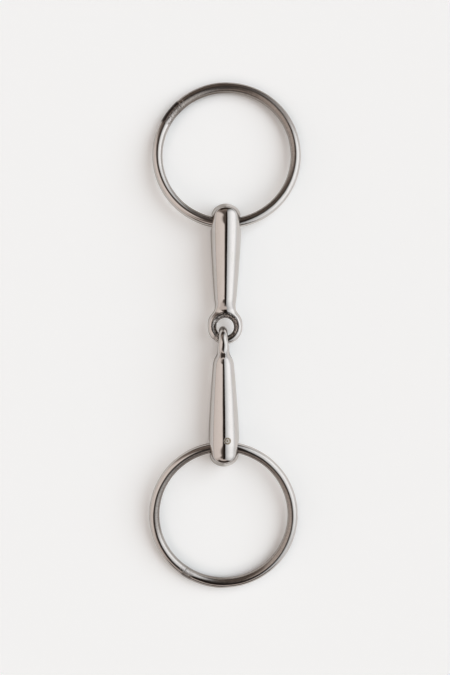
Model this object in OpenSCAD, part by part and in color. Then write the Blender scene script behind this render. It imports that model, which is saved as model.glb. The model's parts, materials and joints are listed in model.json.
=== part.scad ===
// Loose ring snaffle bit with a single joint.
// It lies flat: X across, Y along the mouthpiece, Z up, with z = 0 the surface it rests on and
// the origin midway between the two ring holes. The left side is +Y, the right side is -Y.

/* [Mouthpiece] */
// Width of the mouth between the two ring wires
mouth_w = 125; // [115:1:145]
// Diameter of a cannon at its butt
butt_d = 18; // [17:0.5:20]
// Distance from the tip of a butt to the centre of its ring hole
tip_to_hole = 11; // [10:0.5:13]
// Diameter of a cannon's waist, just before its eye
waist_d = 11.8; // [10:0.2:13]
// Diameter of the hole in a butt that the ring runs through
ring_hole_d = 7.6; // [7.4:0.1:8.4]

/* [Eyes] */
// Diameter of the hole in an eye
eye_hole_d = 10.4; // [10:0.1:12]
// Thickness of the bar around an eye
eye_bar_d = 5; // [4:0.1:5.2]
// Least gap between the bars of the two linked eyes
link_gap = 0.28; // [0.2:0.02:0.5]

/* [Rings] */
// Diameter inside a ring
ring_in_d = 75; // [65:1:85]
// Diameter of the ring's wire
ring_wire_d = 6; // [5:0.25:6]

/* [Welds] */
// Width of a ring's closing weld, along the wire
ring_weld_w = 6; // [4:0.5:9]
// Width of the eye's closing weld, along the bar
eye_weld_w = 1.2; // [0.8:0.1:2]
// How far a ring's weld stands proud of the wire
weld_proud = 0.1; // [0.05:0.05:0.2]
// How far the eye's weld is sunk below the bar
weld_sunk = 0.2; // [0.1:0.05:0.3]
// Place of the left ring's weld, in degrees from +X
left_weld_at = 134; // [0:1:180]
// Place of the right ring's weld, in degrees from +X
right_weld_at = -124; // [-180:1:0]
// Place of the left eye's weld, in degrees from +X
eye_weld_at = -130; // [-150:1:-120]

/* [Hidden] */
$fn = 64;
butt_r = butt_d / 2;
waist_r = waist_d / 2;

// Eyes
eye_bar_r = eye_bar_d / 2;
eye_mean_r = eye_hole_d / 2 + eye_bar_r;
eye_out_r = eye_mean_r + eye_bar_r;
web_hole_r = eye_hole_d / 2 + 0.16 * eye_bar_r;
web_mouth_r = eye_mean_r + 0.4;

// Places along the mouthpiece. A standing eye is taller than a butt, so its centre sits higher than
// the flat eye's and the two lap by a little more than one bar and the gap.
half_span = (mouth_w + ring_wire_d) / 2;
eye_rise = eye_out_r - butt_r;
lap = eye_mean_r - sqrt(pow(eye_mean_r - eye_bar_d - link_gap, 2) - pow(eye_rise, 2));
hole_to_eye = half_span + lap / 2 - eye_mean_r;

// Stations of a cannon, from the tip of its butt
dome_l = 0.84 * butt_r;
dome_r = 0.955 * butt_r;
girth_at = 1.45 * butt_r;
eye_at = tip_to_hole + hole_to_eye;
barrel_end = eye_at - 15.6;
waist_at = eye_at - 13;
neck_at = eye_at - 11.6;
barrel_end_r = waist_r + 0.45;

// The cannon with the standing eye slopes up to it
slope = asin(eye_rise / hole_to_eye);

// Rings. The wire's bow inside the butt is shared about the hole's centre.
ring_wire_r = ring_wire_d / 2;
ring_r = ring_in_d / 2 + ring_wire_r;
bow = ring_r - sqrt(pow(ring_r, 2) - pow(butt_r, 2));
hole_to_ring = ring_r - bow / 2;
ring_slope = asin((butt_r - ring_wire_r) / (hole_to_ring + ring_r));
ring_weld_deg = ring_weld_w / ring_r * 180 / PI;
eye_weld_deg = eye_weld_w / eye_mean_r * 180 / PI;

steel = [0.78, 0.76, 0.73];
weld_steel = [0.62, 0.58, 0.54];

// Outline of a cannon turned about its length: dome, full girth, taper, waist, flare to the eye
function cannon_outline() = concat(
    [for (a = [0 : 10 : 90]) [dome_r * sin(a), dome_l * (1 - cos(a))]],
    [[0.99 * butt_r, (dome_l + girth_at) / 2]],
    [for (k = [0 : 0.125 : 1])
        [butt_r - (butt_r - barrel_end_r) * pow(k, 1.4), girth_at + (barrel_end - girth_at) * k]],
    [[waist_r, waist_at], [waist_r, neck_at]],
    [[0.76 * eye_out_r, eye_at - eye_mean_r], [0.86 * eye_out_r, eye_at - 4.6]],
    [[eye_mean_r + 0.8, eye_at], [0, eye_at]]);

// Half thickness of a cannon seen along its eye: it flattens from the neck down to the eye's bar
function flat_outline() = [
    [butt_r + 1, -1], [butt_r + 1, waist_at - 1.6], [waist_r + 0.2, neck_at],
    [1.9 * eye_bar_r, eye_at - 8.6], [1.45 * eye_bar_r, eye_at - 4.6], [0.9 * eye_bar_r, eye_at + 1]];

// A cannon before its ring hole is drilled: its tip at the origin, along Z, its eye's hole along X
module cannon_blank() {
    difference() {
        intersection() {
            rotate_extrude() polygon(cannon_outline());
            rotate([90, 0, 0])
                linear_extrude(height = 4 * butt_r, center = true)
                    polygon(concat(flat_outline(), [for (k = [5 : -1 : 0])
                        [-flat_outline()[k].x, flat_outline()[k].y]]));
        }
        translate([0, 0, eye_at]) rotate([0, 90, 0]) eye_mouth();
    }
    translate([0, 0, eye_at]) rotate([0, 90, 0]) bent_bar(eye_mean_r, eye_bar_r, 0, 360);
}

// What is cut from the web behind an eye: a hole that widens to both faces
module eye_mouth() {
    rotate_extrude() polygon([
        [0, -butt_r], [web_mouth_r + 2, -butt_r], [web_hole_r, -0.6 * eye_bar_r],
        [web_hole_r, 0.6 * eye_bar_r], [web_mouth_r + 2, butt_r], [0, butt_r]]);
}

// A round bar bent to a circle about Z, from one angle over a sweep
module bent_bar(mean_r, bar_r, from, sweep) {
    rotate([0, 0, from]) rotate_extrude(angle = sweep) translate([mean_r, 0]) circle(r = bar_r);
}

// A cannon with its ring hole drilled along X and eased at both ends, its eye at any turn
module cannon(eye_turn) {
    ease = 1;
    translate([0, 0, -tip_to_hole]) difference() {
        rotate([0, 0, eye_turn]) cannon_blank();
        translate([0, 0, tip_to_hole]) rotate([0, 90, 0]) {
            cylinder(h = 4 * butt_r, d = ring_hole_d, center = true);
            for (side = [0, 1]) mirror([0, 0, side])
                translate([0, 0, butt_r - 1.4 * ease])
                    cylinder(h = 2 * ease, d1 = ring_hole_d, d2 = ring_hole_d + 4 * ease);
        }
    }
}

module left_cannon() {
    color(steel) difference() {
        translate([0, half_span, butt_r]) rotate([90, 0, 0]) cannon(90);
        at_left_eye() rotate([0, 0, eye_weld_at - eye_weld_deg / 2])
            rotate_extrude(angle = eye_weld_deg)
                translate([eye_mean_r, 0]) square(3 * eye_bar_r, center = true);
    }
}

module right_cannon() {
    color(steel) translate([0, -half_span, butt_r]) rotate([slope - 90, 0, 0]) cannon(0);
}

// The frame of the left eye, which lies flat
module at_left_eye() {
    translate([0, half_span - hole_to_eye, butt_r]) children();
}

module left_eye_weld() {
    color(weld_steel) at_left_eye() bent_bar(eye_mean_r, eye_bar_r - weld_sunk,
        eye_weld_at - eye_weld_deg / 2, eye_weld_deg);
}

// The frame of a ring at rest: threaded through its butt, sloping down to the surface
module at_ring(side) {
    translate([0, side * half_span, butt_r]) rotate([-side * ring_slope, 0, 0])
        translate([0, side * hole_to_ring, 0]) children();
}

module ring(side, weld_at) {
    color(steel) at_ring(side) bent_bar(ring_r, ring_wire_r,
        weld_at + ring_weld_deg / 2, 360 - ring_weld_deg);
}

module ring_weld(side, weld_at) {
    color(weld_steel) at_ring(side) bent_bar(ring_r, ring_wire_r + weld_proud,
        weld_at - ring_weld_deg / 2, ring_weld_deg);
}

module left_ring() { ring(1, left_weld_at); }
module left_ring_weld() { ring_weld(1, left_weld_at); }
module right_ring() { ring(-1, right_weld_at); }
module right_ring_weld() { ring_weld(-1, right_weld_at); }

left_ring();
left_ring_weld();
left_cannon();
left_eye_weld();
right_cannon();
right_ring();
right_ring_weld();
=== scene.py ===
import json
import math

import bpy
import numpy as np
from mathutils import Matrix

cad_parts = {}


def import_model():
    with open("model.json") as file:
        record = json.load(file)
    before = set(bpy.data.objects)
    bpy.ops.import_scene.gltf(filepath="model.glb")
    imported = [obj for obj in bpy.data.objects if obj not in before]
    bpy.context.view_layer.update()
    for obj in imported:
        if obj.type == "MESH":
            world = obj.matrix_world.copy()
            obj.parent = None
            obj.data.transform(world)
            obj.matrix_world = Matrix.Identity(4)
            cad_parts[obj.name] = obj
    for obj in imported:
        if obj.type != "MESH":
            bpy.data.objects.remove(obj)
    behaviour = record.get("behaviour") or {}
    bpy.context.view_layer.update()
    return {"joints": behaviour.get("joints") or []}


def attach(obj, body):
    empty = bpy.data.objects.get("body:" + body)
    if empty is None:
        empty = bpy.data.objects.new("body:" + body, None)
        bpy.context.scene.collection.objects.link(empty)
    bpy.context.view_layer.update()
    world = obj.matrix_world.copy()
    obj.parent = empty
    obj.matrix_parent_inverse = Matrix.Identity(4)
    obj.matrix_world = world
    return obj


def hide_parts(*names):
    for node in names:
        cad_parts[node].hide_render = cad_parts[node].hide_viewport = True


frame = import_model()

MM = 0.001
DEGREES = 180 / math.pi

# ---------------------------------------------------------------- the object's own sizes, in mm
BUTT_R = 9.0
DOME_R = 8.6
DOME_L = 7.6
TIP_TO_HOLE = 11.0
RING_HOLE_R = 3.8
EYE_R = 7.7
EYE_BAR_R = 2.5
EYE_AT = 71.6
NECK_L = 15.6
WAIST_AT = EYE_AT - NECK_L
WAIST_R = 6.45
RING_R = 40.5
WIRE_R = 3.0
WELD_W = 6.0
LEFT_WELD_AT = 134.0
RIGHT_WELD_AT = -124.0
EYE_WELD_AT = -130.0
EYE_WELD_W = 1.2
EYE_WELD_SUNK = 0.2
RIGHT_LEAN = math.radians(0.9)

# Fineness: a cannon's cells in mm, and the rows along and the points around each bent bar
GRID = 0.34
RING_ROWS, RING_SIDES = 900, 48
BEAD_ROWS = 61
SEAM_ROWS, SEAM_SIDES = 15, 40


def joint(name):
    return next(j for j in frame["joints"] if j["name"] == name)


LEFT_HOLE = np.array(joint("left_ring_swing")["pos_m"]) / MM
RIGHT_HOLE = np.array(joint("right_ring_swing")["pos_m"]) / MM
HOLE_TO_EYE = EYE_AT - TIP_TO_HOLE
LEFT_EYE = LEFT_HOLE - np.array([0, HOLE_TO_EYE, 0])

# The right cannon climbs to its standing eye, and each ring falls from its butt to the floor. Inside a
# butt a ring's wire bows, and half of that bow is on either side of the hole's axis.
SLOPE = math.asin((EYE_R + EYE_BAR_R - BUTT_R) / HOLE_TO_EYE)
BOW = RING_R - math.sqrt(RING_R**2 - BUTT_R**2)
HOLE_TO_RING = RING_R - BOW / 2
RING_SLOPE = math.asin((BUTT_R - WIRE_R) / (HOLE_TO_RING + RING_R))
RING_CENTRE = HOLE_TO_RING * math.cos(RING_SLOPE)
HALF_WELD = math.degrees(WELD_W / 2 / RING_R)
RIGHT_EYE = RIGHT_HOLE + HOLE_TO_EYE * np.array([0, math.cos(SLOPE), math.sin(SLOPE)])


# ---------------------------------------------------------------- fields and meshes
def smooth_union(a, b, k):
    h = np.clip(0.5 + 0.5 * (b - a) / k, 0, 1)
    return b + (a - b) * h - k * h * (1 - h)


def smooth_cut(a, b, k):
    """a without b."""
    return -smooth_union(-a, b, k)


def smoothstep(low, high, x):
    t = np.clip((x - low) / (high - low), 0, 1)
    return t * t * (3 - 2 * t)


def curve(stations, x):
    """A smooth curve through (place, value) stations that never overshoots them."""
    px, py = (np.array(v, float) for v in zip(*stations))
    step = np.diff(px)
    rise = np.diff(py) / step
    slope = np.zeros(len(px))
    same = rise[1:] * rise[:-1] > 0
    slope[1:-1][same] = 2 / (1 / rise[1:][same] + 1 / rise[:-1][same])
    slope[0], slope[-1] = rise[0], rise[-1]
    x = np.clip(x, px[0], px[-1])
    i = np.clip(np.searchsorted(px, x, side="right") - 1, 0, len(step) - 1)
    t = (x - px[i]) / step[i]
    return (
        py[i] * (1 + 2 * t) * (1 - t) ** 2
        + py[i + 1] * t**2 * (3 - 2 * t)
        + step[i] * (slope[i] * t * (1 - t) ** 2 - slope[i + 1] * t**2 * (1 - t))
    )


def barrel_radius(s):
    """Round stretch of a cannon: swelling from the dome to full girth, then a steady taper."""
    girth_at = 1.45 * BUTT_R
    swell = DOME_R + (BUTT_R - DOME_R) * smoothstep(DOME_L - 1, girth_at, s)
    along = np.clip((s - girth_at) / (WAIST_AT - girth_at), 0, 1.2)
    return swell - (BUTT_R - WAIST_R) * along**1.4


def outside_seam(x, y):
    """Distance to the slot across the left eye's bar, where the bent bar was closed."""
    turn = math.radians(-EYE_WELD_AT)
    outward = x * math.cos(turn) + (y - EYE_AT) * math.sin(turn)
    across = (y - EYE_AT) * math.cos(turn) - x * math.sin(turn)
    return np.maximum(np.abs(across) - EYE_WELD_W / 2, -outward)


# Half width across the eye and half thickness through it, by distance along from the eye's middle
FLAT_NECK = ([(-NECK_L, 6.4), (-12.7, 6.05), (-10.6, 6.15), (-9.4, 6.5), (-8.0, 7.2), (-6.3, 8.2),
              (-4, 9.0), (0, 8.8)],
             [(-NECK_L, 6.4), (-13.6, 5.9), (-11.8, 5.2), (-9.6, 4.1), (-7.5, 3.3), (-3, 2.7), (0, 2.2)])
STANDING_NECK = ([(-NECK_L, 6.5), (-12.0, 6.5), (-9.0, 7.1), (-6.6, 7.9), (-4, 8.8), (0, 8.8)],
                 [(-NECK_L, 6.4), (-11.9, 6.1), (-9.5, 5.6), (-7.2, 4.6), (-4.9, 3.4), (-2, 2.6), (0, 2.2)])


def cannon_field(flat_eye):
    """Distance to a cannon's skin. x runs across the eye, y along from the tip, z through the eye."""
    widths, depths = FLAT_NECK if flat_eye else STANDING_NECK

    def field(p):
        x, y, z = p[..., 0], p[..., 1], p[..., 2]

        # The forging: round, then oval at the neck, domed at the butt and ending in the eye's shoulders
        barrel = barrel_radius(y)
        blend = smoothstep(WAIST_AT - 3, WAIST_AT + 3, y)
        width, depth = curve(widths, y - EYE_AT), curve(depths, y - EYE_AT)
        width = barrel + (width - barrel) * blend
        depth = barrel + (depth - barrel) * blend
        dome = np.maximum(0, DOME_L - y) / DOME_L
        cap = np.maximum(0, y - EYE_AT + 1) / 2
        q = np.sqrt((x / width) ** 2 + (z / depth) ** 2 + dome**2.1 + cap**2)
        body = (q - 1) * np.minimum(width, depth)

        # The eye: its opening flares outward, and its bar is thicker where it meets the neck
        from_eye = np.hypot(x, y - EYE_AT)
        opening = from_eye - (EYE_R - EYE_BAR_R + 0.5 + 0.09 * z**2)
        body = smooth_cut(body, opening, 1.0)
        half_bar = 2.55 + 0.85 * smoothstep(EYE_AT + 4, EYE_AT - 4, y)
        eye = (np.hypot((from_eye - EYE_R) / EYE_BAR_R, z / half_bar) - 1) * EYE_BAR_R
        solid = smooth_union(body, eye, 1.4)
        solid = smooth_cut(solid, EYE_R + EYE_BAR_R - np.abs(x), 0.5)

        # The ring hole runs level across the butt, whichever way the eye is turned
        sideways = z if flat_eye else x
        hole = np.hypot(sideways, y - TIP_TO_HOLE) - RING_HOLE_R
        solid = smooth_cut(solid, hole, 1.3)
        return smooth_cut(solid, outside_seam(x, y), 0.25) if flat_eye else solid

    return field


CANNON_BOX = (-11.2, -1.2, -10.2), (11.2, 83.2, 10.2)
NUDGE = 0.01
PULLS = 8


def slopes(field, p):
    """How fast a field rises along each axis."""
    out = np.empty_like(p)
    for k in range(3):
        e = np.zeros(3)
        e[k] = NUDGE
        out[:, k] = (field(p + e) - field(p - e)) / (2 * NUDGE)
    return out


def skin(field, low, high, step):
    """Quad mesh of a field's zero surface: a vertex in each cell it crosses, pulled onto the surface."""
    axes = [np.arange(a, b + step, step) for a, b in zip(low, high)]
    grid = np.stack(np.meshgrid(*axes, indexing="ij"), -1)
    v = field(grid)
    inside = v < 0
    corners = [inside[i : v.shape[0] - 1 + i, j : v.shape[1] - 1 + j, k : v.shape[2] - 1 + k]
               for i in (0, 1) for j in (0, 1) for k in (0, 1)]
    count = sum(c.astype(int) for c in corners)
    crossed = (count > 0) & (count < 8)
    index = -np.ones(crossed.shape, int)
    index[crossed] = np.arange(crossed.sum())
    cells = np.argwhere(crossed)
    points = np.array(low) + (cells + 0.5) * step
    for _ in range(PULLS):
        g = slopes(field, points)
        f = field(points)
        points = points - (f / np.maximum((g**2).sum(1), 1e-6))[:, None] * g * 0.9
    quads = []
    for axis in range(3):
        a, b = [k for k in range(3) if k != axis]
        lo = [slice(None)] * 3
        hi = [slice(None)] * 3
        lo[axis], hi[axis] = slice(0, -1), slice(1, None)
        change = inside[tuple(lo)] != inside[tuple(hi)]
        edge = np.argwhere(change)
        edge = edge[(edge[:, a] > 0) & (edge[:, b] > 0)]
        edge = edge[(edge[:, a] < v.shape[a] - 1) & (edge[:, b] < v.shape[b] - 1)]
        da, db = np.eye(3, dtype=int)[a], np.eye(3, dtype=int)[b]
        four = [index[tuple((edge - da * i - db * j).T)] for i, j in ((0, 0), (1, 0), (1, 1), (0, 1))]
        four = np.stack(four, 1)
        starts_inside = inside[tuple(edge.T)]
        flip = ~starts_inside if axis != 1 else starts_inside
        four[flip] = four[flip][:, ::-1]
        quads.append(four)
    return points, np.concatenate(quads), slopes(field, points)


def placed(name, data):
    obj = bpy.data.objects.new(name, data)
    bpy.context.scene.collection.objects.link(obj)
    return obj


def mesh_object(name, points, faces, normals=None):
    """A smooth-shaded object from points in mm in the row frame."""
    mesh = bpy.data.meshes.new(name)
    mesh.from_pydata((np.asarray(points) * MM).tolist(), [], [list(map(int, f)) for f in faces])
    mesh.validate()
    mesh.shade_smooth()
    if normals is not None:
        unit = normals / np.linalg.norm(normals, axis=1, keepdims=True)
        mesh.normals_split_custom_set_from_vertices(unit.tolist())
    return placed(name, mesh)


def flat_quad(name, corners):
    """A bare four-cornered sheet, from corners in metres."""
    mesh = bpy.data.meshes.new(name)
    mesh.from_pydata(corners, [], [(0, 1, 2, 3)])
    return placed(name, mesh)


# ---------------------------------------------------------------- placing
def turn_x(angle):
    c, s = math.cos(angle), math.sin(angle)
    return np.array([[1, 0, 0], [0, c, -s], [0, s, c]])


def turn_z(angle):
    c, s = math.cos(angle), math.sin(angle)
    return np.array([[c, -s, 0], [s, c, 0], [0, 0, 1]])


# A cannon's own axes in the row frame: the left eye lies flat, the right eye stands, a little askew
LEFT_AXES = np.array([[1, 0, 0], [0, -1, 0], [0, 0, -1]]).T
RIGHT_AXES = turn_z(RIGHT_LEAN) @ turn_x(SLOPE) @ np.array([[0, 0, -1], [0, 1, 0], [1, 0, 0]]).T


def cannon(name, body, node, hole, axes, flat_eye):
    field = cannon_field(flat_eye)
    points, faces, normals = skin(field, *CANNON_BOX, GRID)
    points = points - np.array([0, TIP_TO_HOLE, 0])
    piece = mesh_object(name, points @ axes.T + hole, faces, normals @ axes.T)
    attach(piece, body)
    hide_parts(node)
    return piece


def along_ring(angles, weld_at):
    """Distance along a ring's wire from its weld, in mm, the short way round."""
    return np.radians((angles - weld_at + 180) % 360 - 180) * RING_R


def wire_radius(side, weld_at, angles, around):
    """A ring's wire at each angle and each place around it: a little uneven, and dressed at its weld."""
    turn = np.radians(angles)
    s = along_ring(angles, weld_at)
    uneven = 0.018 * np.sin(7 * turn + side) + 0.012 * np.sin(17 * turn + 2 * side + around)
    swelling = 0.06 * np.exp(-((s / 2.6) ** 2))
    ripple = 0.03 * np.cos(2 * math.pi * s / 1.1) * np.exp(-((s / 2.4) ** 2))
    crown = np.exp(-(((around - math.radians(62)) / 0.55) ** 2))
    depth = 0.2 if side > 0 else 0.06
    dressed = depth * crown * smoothstep(-1.5, 0.5, s) * (1 - smoothstep(10.0, 14.0, s))
    return WIRE_R + uneven + swelling + ripple - dressed


def ring_points(side, weld_at, hole, angles, around):
    """Points of a ring's wire, as rows along it."""
    degrees, b = np.meshgrid(angles, around, indexing="ij")
    radius = wire_radius(side, weld_at, degrees, b)
    a = np.radians(degrees)
    r = RING_R + radius * np.cos(b)
    p = np.stack([r * np.cos(a), r * np.sin(a), radius * np.sin(b)], -1).reshape(-1, 3)
    p = p + np.array([0, side * HOLE_TO_RING, 0])
    return p @ turn_x(-side * RING_SLOPE).T + hole


def bar_faces(rows, sides):
    """Faces of a bar with closed ends, given as rows of points."""
    faces = []
    for i in range(rows - 1):
        for k in range(sides):
            m = (k + 1) % sides
            faces.append((i * sides + k, (i + 1) * sides + k, (i + 1) * sides + m, i * sides + m))
    faces.append(tuple(range(sides)))
    faces.append(tuple(rows * sides - 1 - k for k in range(sides)))
    return faces


def ring_piece(name, body, node, side, hole, weld_at, angles):
    around = np.linspace(-math.pi, math.pi, RING_SIDES, endpoint=False)
    points = ring_points(side, weld_at, hole, angles, around)
    piece = mesh_object(name, points, bar_faces(len(angles), len(around)))
    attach(piece, body)
    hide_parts(node)
    return piece


def ring(name, body, node, side, hole, weld_at):
    angles = np.linspace(weld_at + HALF_WELD, weld_at + 360 - HALF_WELD, RING_ROWS)
    return ring_piece(name, body, node, side, hole, weld_at, angles)


def ring_weld(name, body, node, side, hole, weld_at):
    angles = np.linspace(weld_at - HALF_WELD, weld_at + HALF_WELD, BEAD_ROWS)
    return ring_piece(name, body, node, side, hole, weld_at, angles)


def eye_weld():
    """The filler in the left eye's seam: a short, sunken, lumpy length of the eye's bar."""
    half = math.degrees((EYE_WELD_W / 2 + 0.03) / EYE_R)
    along = np.radians(np.linspace(EYE_WELD_AT - half, EYE_WELD_AT + half, SEAM_ROWS))
    around = np.linspace(-math.pi, math.pi, SEAM_SIDES, endpoint=False)
    a, b = np.meshgrid(along, around, indexing="ij")
    lumps = 0.05 * np.sin(5 * b + 9 * a) + 0.03 * np.sin(11 * b)
    radius = EYE_BAR_R - EYE_WELD_SUNK + lumps
    r = EYE_R + radius * np.cos(b)
    points = np.stack([r * np.cos(a), r * np.sin(a), radius * np.sin(b)], -1).reshape(-1, 3)
    piece = mesh_object("left_eye_seam", points + LEFT_EYE, bar_faces(SEAM_ROWS, SEAM_SIDES))
    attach(piece, "left_arm")
    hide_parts("left_eye_weld")
    return piece


# ---------------------------------------------------------------- node graphs
class Graph:
    """Short spellings for shader nodes. A value is a socket or a plain number."""

    def __init__(self, tree):
        self.tree = tree

    def node(self, kind, **settings):
        n = self.tree.nodes.new(kind)
        for key, value in settings.items():
            setattr(n, key, value)
        return n

    def feed(self, socket, value):
        if isinstance(value, bpy.types.NodeSocket):
            self.tree.links.new(value, socket)
        else:
            socket.default_value = value

    def math(self, operation, *values):
        n = self.node("ShaderNodeMath", operation=operation)
        for socket, value in zip(n.inputs, values):
            self.feed(socket, value)
        return n.outputs[0]

    def fold(self, operation, values):
        out = values[0]
        for v in values[1:]:
            out = self.math(operation, out, v)
        return out

    def plus(self, *values):
        return self.fold("ADD", values)

    def times(self, *values):
        return self.fold("MULTIPLY", values)

    def most(self, *values):
        return self.fold("MAXIMUM", values)

    def less(self, value):
        """What is left of 1."""
        return self.math("SUBTRACT", 1.0, value)

    def degrees(self, y, x):
        """Angle of (x, y) from the x axis."""
        return self.times(self.math("ARCTAN2", y, x), DEGREES)

    def step(self, x, low, high):
        """0 below low, 1 above high and smooth between; low may be above high."""
        flip = low > high
        n = self.node("ShaderNodeMapRange", interpolation_type="SMOOTHSTEP")
        self.feed(n.inputs[0], x)
        n.inputs[1].default_value, n.inputs[2].default_value = min(low, high), max(low, high)
        n.inputs[3].default_value, n.inputs[4].default_value = (1, 0) if flip else (0, 1)
        return n.outputs[0]

    def band(self, x, middle, half, soft):
        """1 within half of the middle, 0 past half plus soft."""
        away = self.math("ABSOLUTE", self.math("SUBTRACT", x, middle))
        return self.step(away, half + soft, half)

    def lerp(self, share, a, b):
        """Number a where share is 0, b where it is 1."""
        n = self.node("ShaderNodeMix", data_type="FLOAT")
        for socket, value in zip(n.inputs[:1] + n.inputs[2:4], (share, a, b)):
            self.feed(socket, value)
        return n.outputs[0]

    def mix(self, share, a, b):
        """Colour a where share is 0, b where it is 1."""
        n = self.node("ShaderNodeMix", data_type="RGBA")
        self.feed(n.inputs[0], share)
        self.feed(n.inputs[6], a)
        self.feed(n.inputs[7], b)
        return n.outputs[2]

    def vector(self, x, y, z):
        n = self.node("ShaderNodeCombineXYZ")
        for socket, value in zip(n.inputs, (x, y, z)):
            self.feed(socket, value)
        return n.outputs[0]

    def noise(self, vector, scale=1.0, detail=2.0, rough=0.5):
        n = self.node("ShaderNodeTexNoise")
        self.feed(n.inputs["Vector"], vector)
        for key, value in (("Scale", scale), ("Detail", detail), ("Roughness", rough)):
            n.inputs[key].default_value = value
        return n.outputs["Fac"]

    def bump(self, height_mm):
        n = self.node("ShaderNodeBump")
        n.inputs["Strength"].default_value = 1.0
        n.inputs["Distance"].default_value = MM
        self.feed(n.inputs["Height"], height_mm)
        return n.outputs[0]

    def split(self, vector):
        n = self.node("ShaderNodeSeparateXYZ")
        self.feed(n.inputs[0], vector)
        return n.outputs


def rgb(r, g, b):
    return (r, g, b, 1)


def grey(level, warmth=0.0):
    """A grey that leans to a pinkish brown as warmth grows."""
    return rgb(level * (1 + warmth), level, level * (1 - 0.55 * warmth))


# ---------------------------------------------------------------- materials
POLISHED = rgb(0.69, 0.655, 0.632)
# Dark brown: unpolished steel, darkened further by painted shade inside the ring holes
UNPOLISHED_AND_SHADED = rgb(0.20, 0.165, 0.14)
# Near black: heat scorch at the ring welds, and painted shade inside the cannons' eyes
SCORCH_AND_SHADE = rgb(0.045, 0.036, 0.032)


class Steel:
    """A bare steel material: layers of colour and roughness over a polished base, and a fine relief."""

    def __init__(self, name, roughness):
        self.material = bpy.data.materials.new(name)
        self.material.use_nodes = True
        self.g = g = Graph(self.material.node_tree)
        self.shader = self.material.node_tree.nodes["Principled BSDF"]
        self.shader.inputs["Metallic"].default_value = 1
        x, y, z = g.split(g.node("ShaderNodeTexCoord").outputs["Object"])
        self.x, self.y, self.z = (g.times(v, 1 / MM) for v in (x, y, z))
        self.colour, self.roughness, self.height = POLISHED, roughness, 0.0

    def layer(self, share, colour, roughness):
        self.colour = self.g.mix(share, self.colour, colour)
        self.roughness = self.g.lerp(share, self.roughness, roughness)

    def raise_by(self, height_mm):
        self.height = self.g.plus(height_mm, self.height)

    def finish(self):
        for key, value in (("Base Color", self.colour), ("Roughness", self.roughness)):
            self.g.feed(self.shader.inputs[key], value)
        self.g.feed(self.shader.inputs["Normal"], self.g.bump(self.height))
        return self.material


def cannon_steel(name, hole, eye, flat_eye):
    """Mirror polish along the barrel; rough and unpolished inside the eye and the ring hole, both darkened
    by painted shade, with a painted dark line round the eye.
    """
    m = Steel(name, 0.05)
    g, x, y, z = m.g, m.x, m.y, m.z
    lines = g.noise(g.vector(g.times(x, 7), g.times(y, 0.3), g.times(z, 7)), 1, 3)
    handling = g.noise(g.vector(x, g.times(y, 0.6), z), 0.16, 3, 0.6)
    m.roughness = g.plus(0.035, g.times(lines, 0.045), g.times(g.step(handling, 0.45, 0.75), 0.05))
    m.colour = g.mix(g.step(handling, 0.4, 0.8), POLISHED, rgb(0.665, 0.635, 0.6))
    scratch = g.noise(g.vector(g.times(x, 1.7), g.times(y, 0.09), g.times(z, 1.7)), 1.6, 1)
    m.layer(g.times(g.step(scratch, 0.68, 0.71), 0.5), rgb(0.6, 0.57, 0.54), 0.2)
    m.raise_by(g.times(g.noise(g.vector(x, g.times(y, 0.5), z), 0.22, 1), 0.03))
    m.raise_by(g.times(lines, 0.0005))

    across = x if flat_eye else g.plus(z, -eye[2])
    along = g.plus(y, -eye[1] - (0.5 if flat_eye else -0.5))
    from_eye = g.math("SQRT", g.plus(g.times(across, across), g.times(along, along)))
    grain = g.noise(g.vector(x, y, z), 1.1, 4, 0.65)
    # Inside the eye: rough, scaly steel, darkened further by painted shade where the opening falls away
    forged_and_shaded = g.step(g.plus(from_eye, g.times(grain, 2.0)), 9.3, 8.1)
    patchy = g.lerp(g.step(grain, 0.42, 0.6), 0.9, 0.35)
    m.layer(g.times(forged_and_shaded, patchy), g.mix(g.step(grain, 0.42, 0.6), SCORCH_AND_SHADE, rgb(0.3, 0.25, 0.21)), 0.16)
    # A painted dark line round the eye, just past the crest of its bar
    m.layer(g.times(g.band(g.plus(from_eye, g.times(grain, 0.6)), 8.2, 0.1, 0.3), 0.6), SCORCH_AND_SHADE, 0.2)
    # Inside the ring hole: rough, unpolished steel, darkened further by painted shade
    up = g.math("POWER", g.plus(z, -hole[2]), 2.0)
    from_hole = g.math("SQRT", g.plus(up, g.math("POWER", g.plus(y, -hole[1]), 2.0)))
    m.layer(g.step(from_hole, 4.5, 3.8), UNPOLISHED_AND_SHADED, 0.3)
    m.raise_by(g.times(g.step(from_eye, 8.4, 6.8), grain, 0.12))
    return m


def add_mark(m, at_x, at_y):
    """A small etched roundel on the top of the barrel: a ring and a dot."""
    g = m.g
    dx, dy = g.plus(m.x, -at_x), g.plus(m.y, -at_y)
    away = g.math("SQRT", g.plus(g.times(dx, dx), g.times(dy, dy)))
    worn = g.step(g.noise(g.vector(m.x, m.y, m.z), 3.2, 2), 0.28, 0.5)
    mark = g.times(g.most(g.band(away, 1.55, 0.42, 0.12), g.step(away, 0.85, 0.65)),
                   g.step(m.z, 11, 12), worn)
    m.layer(g.times(mark, 0.95), rgb(0.21, 0.15, 0.07), 0.45)
    m.raise_by(g.times(mark, -0.03))


# How far each ring's weld was dressed, in mm, and how strongly its scorch, spots and line show
WELD_LOOKS = {1: (13.5, 0.93, 0.75, 0.8), -1: (5.0, 0.45, 0.25, 0.45)}


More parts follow.
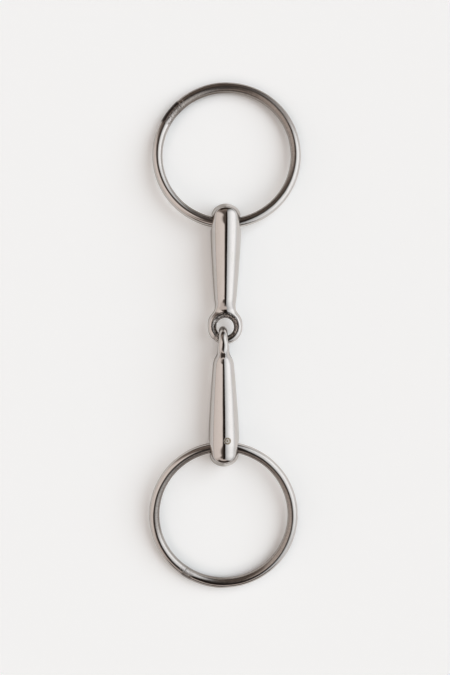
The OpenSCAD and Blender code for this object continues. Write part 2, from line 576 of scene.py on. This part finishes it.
def ring_steel(name, side, centre_y, weld_at):
    """Round wire: polished outside, brushed across its inner side and darker there by painted shade, with a
    painted dark reflection along the +y stretch of the left ring; dressed and scorched at the weld.
    """
    m = Steel(name, 0.08)
    g = m.g
    x, y, z = m.x, g.times(g.plus(m.y, -centre_y), 1 / math.cos(RING_SLOPE)), m.z
    outward = g.plus(g.math("SQRT", g.plus(g.times(x, x), g.times(y, y))), -RING_R)
    turn = math.radians(weld_at)
    ahead = g.plus(g.times(x, math.cos(turn)), g.times(y, math.sin(turn)))
    aside = g.plus(g.times(y, math.cos(turn)), g.times(x, -math.sin(turn)))
    s = g.times(g.math("ARCTAN2", aside, ahead), RING_R)

    hatch = g.noise(g.vector(g.times(s, 4.5), g.times(outward, 0.35), g.times(z, 0.35)), 1, 3, 0.6)
    drawn = g.noise(g.vector(g.times(s, 0.05), g.times(outward, 2.6), g.times(z, 2.6)), 1, 3, 0.55)
    m.roughness = g.plus(0.05, g.times(drawn, 0.06), g.times(hatch, 0.03))
    m.colour = g.mix(g.step(drawn, 0.35, 0.7), POLISHED, rgb(0.62, 0.59, 0.56))
    # Inner side of the wire: brushed, rougher steel, made darker by painted shade
    brushed_and_shaded = g.step(g.plus(outward, g.times(drawn, 0.8)), 0.55, -0.5)
    if side > 0:
        leftward = g.degrees(g.times(y, -1), g.times(x, -1))
        # The painted shade is left off the ring's left side, so the softbox's highlight shows in its inner
        # half
        brushed_and_shaded = g.times(brushed_and_shaded, g.less(g.band(leftward, 10, 34, 22)))
        # A painted dark reflection, in brown streaks, along the +y stretch of the left ring
        painted_dark_reflection = g.band(g.degrees(x, y), 12, 42, 30)
        streaked = g.lerp(g.step(drawn, 0.42, 0.58), 0.85, 0.45)
        m.layer(g.times(painted_dark_reflection, streaked), rgb(0.3, 0.25, 0.22), 0.26)
    else:
        # The painted shade is mostly left off the lower left, so the softbox's highlight shows in the inner
        # half there
        brushed_and_shaded = g.times(brushed_and_shaded, g.less(g.times(g.band(g.degrees(y, x), -132, 22, 20), 0.8)))
    tone = g.mix(g.step(hatch, 0.3, 0.7), rgb(0.27, 0.235, 0.21), rgb(0.42, 0.38, 0.35))
    m.layer(g.times(brushed_and_shaded, 0.88), tone, 0.26)
    m.raise_by(g.times(g.plus(g.times(hatch, 0.6), g.times(drawn, 0.6)), 0.004))
    m.raise_by(g.times(g.noise(g.vector(x, y, z), 0.3, 1), 0.02))

    spatter = g.noise(g.vector(x, y, z), 1.1, 4, 0.7)
    reach, scorch_share, spots_share, line_share = WELD_LOOKS[side]
    dressed = g.times(g.step(s, -1.6, 0.0), g.step(s, reach + 1.2, reach - 1.0))
    scorched = g.times(dressed, g.step(g.plus(outward, g.times(spatter, 0.8)), 0.7, 1.5))
    m.layer(g.times(scorched, scorch_share), SCORCH_AND_SHADE, 0.12)
    mottled = g.times(dressed, g.step(spatter, 0.46, 0.56), g.step(outward, 1.2, 0.2))
    m.layer(g.times(mottled, spots_share), rgb(0.2, 0.17, 0.15), 0.3)
    line = g.band(g.plus(s, g.times(spatter, 0.5)), 0.2, 0.12, 0.3)
    m.layer(g.times(line, line_share, g.step(outward, -2.6, -1.2)), SCORCH_AND_SHADE, 0.4)
    m.raise_by(g.times(g.plus(g.times(mottled, -0.6), g.times(line, -1.2)), 0.05))
    return m


def seam_steel(name):
    """The filler in the left eye: duller and lumpier than the forgings."""
    m = Steel(name, 0.22)
    g = m.g
    lumps = g.noise(g.vector(m.x, m.y, m.z), 2.0, 4, 0.7)
    m.colour = g.mix(g.step(lumps, 0.35, 0.6), rgb(0.33, 0.3, 0.28), POLISHED)
    m.raise_by(g.times(lumps, 0.05))
    return m


# ---------------------------------------------------------------- scene
def floor():
    """Pale paint with a faint glow, which keeps the shadows light but fails close under the metal.
    Mirrored in the metal it is dimmer, most of all just left of the middle."""
    size = 12.0
    corners = [(-size, -size, 0), (size, -size, 0), (size, size, 0), (-size, size, 0)]
    sheet = flat_quad("floor", corners)
    m = bpy.data.materials.new("floor_paint")
    m.use_nodes = True
    g = Graph(m.node_tree)
    b = m.node_tree.nodes["Principled BSDF"]
    b.inputs["Roughness"].default_value = 0.9
    b.inputs["Specular IOR Level"].default_value = 0.0
    b.inputs["Emission Color"].default_value = (1.05, 1.0, 0.955, 1)
    shelter = g.node("ShaderNodeAmbientOcclusion", samples=8)
    shelter.inputs["Distance"].default_value = 0.006
    x = g.split(g.node("ShaderNodeTexCoord").outputs["Object"])[0]
    mirrored = g.node("ShaderNodeLightPath").outputs["Is Glossy Ray"]
    far_side = g.lerp(g.step(x, -0.032, -0.012), 0.45, 1.0)
    near_side = g.lerp(g.step(x, -0.004, 0.006), 1.0, 0.15)
    dimmed = g.times(mirrored, far_side, near_side)
    g.feed(b.inputs["Base Color"], g.mix(dimmed, rgb(0.86, 0.86, 0.86), rgb(0.5, 0.47, 0.44)))
    g.feed(b.inputs["Emission Strength"], g.times(0.25, shelter.outputs["AO"], g.lerp(dimmed, 1.0, 0.4)))
    sheet.data.materials.append(m)


CAMERA_HEIGHT = 0.52
VIEW_LENGTH = 0.4
SENSOR = 36


def camera():
    """Straight above the bit, turned by the half degree that the photograph is."""
    data = bpy.data.cameras.new("camera")
    data.sensor_fit = "VERTICAL"
    data.sensor_height = SENSOR
    data.lens = SENSOR * CAMERA_HEIGHT / VIEW_LENGTH
    data.clip_start = 0.01
    cam = placed("camera", data)
    cam.location = (0.0, -0.0014, CAMERA_HEIGHT)
    cam.rotation_euler = (0, 0, math.radians(0.5))
    bpy.context.scene.camera = cam


def glowing_card(name, corners, tint, strength):
    """A card that only shows mirrored in the metal. strength(graph, x, y) gives its glow."""
    card = flat_quad(name, corners)
    card.visible_camera = False
    card.visible_diffuse = False
    card.visible_shadow = False
    m = bpy.data.materials.new(name)
    m.use_nodes = True
    g = Graph(m.node_tree)
    m.node_tree.nodes.clear()
    glow = g.node("ShaderNodeEmission")
    glow.inputs["Color"].default_value = tint
    x, y, _ = g.split(g.node("ShaderNodeTexCoord").outputs["Object"])
    g.feed(glow.inputs["Strength"], strength(g, x, y))
    out = g.node("ShaderNodeOutputMaterial")
    g.feed(out.inputs["Surface"], glow.outputs[0])
    card.data.materials.append(m)


def softbox():
    """The big screen to the right, from a little off overhead down to the floor. It is brightest past
    halfway down and dims toward both its ends."""
    def strength(g, x, y):
        near_end = g.lerp(g.step(y, -0.75, -0.05), 0.62, 1.0)
        far_end = g.lerp(g.step(y, 1.2, 0.3), 0.25, 1.0)
        rise = g.lerp(g.step(x, 0.1, 0.52), 0.58, 1.34)
        fall = g.lerp(g.step(x, 0.56, 0.8), 1.0, 0.6)
        return g.times(near_end, far_end, rise, fall, g.step(x, 0.15, 0.175))

    corners = [(0.15, -0.9, 0.8), (0.15, 1.3, 0.8), (0.8, 1.3, 0.01), (0.8, -0.9, 0.01)]
    glowing_card("softbox", corners, rgb(0.96, 0.985, 1.01), strength)


def world():
    """The rest of the studio: dim warm walls, dark low down at both ends, a pale card to the left
    and a dark gap almost overhead."""
    w = bpy.data.worlds.new("studio")
    w.use_nodes = True
    g = Graph(w.node_tree)
    x, y, z = g.split(g.node("ShaderNodeTexCoord").outputs["Generated"])
    side, ahead = g.degrees(x, z), g.degrees(y, z)
    around, around_left = g.degrees(y, x), g.degrees(g.times(y, -1), g.times(x, -1))
    down = g.times(g.math("ARCCOSINE", z), DEGREES)

    sky = g.mix(g.step(down, 20, 60), grey(0.085, 0.26), grey(0.14, 0.26))
    far_wall = g.times(g.band(around, 90, 30, 22), g.step(down, 44, 76))
    sky = g.mix(far_wall, sky, grey(0.36, 0.2))
    near_wall = g.times(g.band(around, -80, 50, 24), g.step(down, 32, 50))
    sky = g.mix(near_wall, sky, grey(0.58, 0.13))
    both_ends = g.times(g.band(g.math("ABSOLUTE", around), 90, 30, 16), g.band(down, 74, 9, 6))
    sky = g.mix(both_ends, sky, grey(0.035, 0.3))
    left_card = g.times(g.band(around_left, 3, 26, 24), g.step(side, -6, -13))
    sky = g.mix(left_card, sky, g.mix(g.step(side, -20, -85), grey(0.8, 0.1), grey(0.7, 0.1)))
    horizon = g.band(down, 88, 3, 3)
    sky = g.mix(g.times(horizon, 0.3), sky, grey(0.03, 0.2))
    away = g.plus(g.math("ABSOLUTE", g.plus(side, -3.5)), g.times(ahead, 0.12))
    gap = g.times(g.step(away, 9.5, 6.0), g.band(ahead, -4, 36, 12))
    sky = g.mix(gap, sky, grey(0.012, 0.4))
    g.feed(w.node_tree.nodes["Background"].inputs["Color"], sky)
    bpy.context.scene.world = w
    bpy.context.scene.view_settings.view_transform = "Standard"


def key_light():
    """A soft, faintly cool lamp from the right that lays the shadows to the left."""
    data = bpy.data.lights.new("key", "SUN")
    data.color = (0.9, 1.0, 1.06)
    data.energy = 2.2
    data.angle = math.radians(60)
    obj = placed("key", data)
    high, turn = math.radians(39), math.radians(15)
    obj.rotation_euler = (0, math.pi / 2 - high, turn)
    obj.visible_glossy = False


left = cannon("left_cannon_forging", "left_arm", "left_cannon", LEFT_HOLE, LEFT_AXES, True)
right = cannon("right_cannon_forging", "right_arm", "right_cannon", RIGHT_HOLE, RIGHT_AXES, False)
left_polish = cannon_steel("left_cannon_steel", LEFT_HOLE, LEFT_EYE, True)
right_polish = cannon_steel("right_cannon_steel", RIGHT_HOLE, RIGHT_EYE, False)
add_mark(right_polish, 1.9, -60.7)
left.data.materials.append(left_polish.finish())
right.data.materials.append(right_polish.finish())

for word, side, hole, weld_at in (("left", 1, LEFT_HOLE, LEFT_WELD_AT),
                                  ("right", -1, RIGHT_HOLE, RIGHT_WELD_AT)):
    wire = ring(word + "_ring_wire", word + "_loop", word + "_ring", side, hole, weld_at)
    bead = ring_weld(word + "_ring_bead", word + "_loop", word + "_ring_weld", side, hole, weld_at)
    wire_steel = ring_steel(word + "_ring_steel", side, hole[1] + side * RING_CENTRE, weld_at).finish()
    wire.data.materials.append(wire_steel)
    bead.data.materials.append(wire_steel)
eye_weld().data.materials.append(seam_steel("seam_steel").finish())
floor()
camera()
world()
softbox()
key_light()
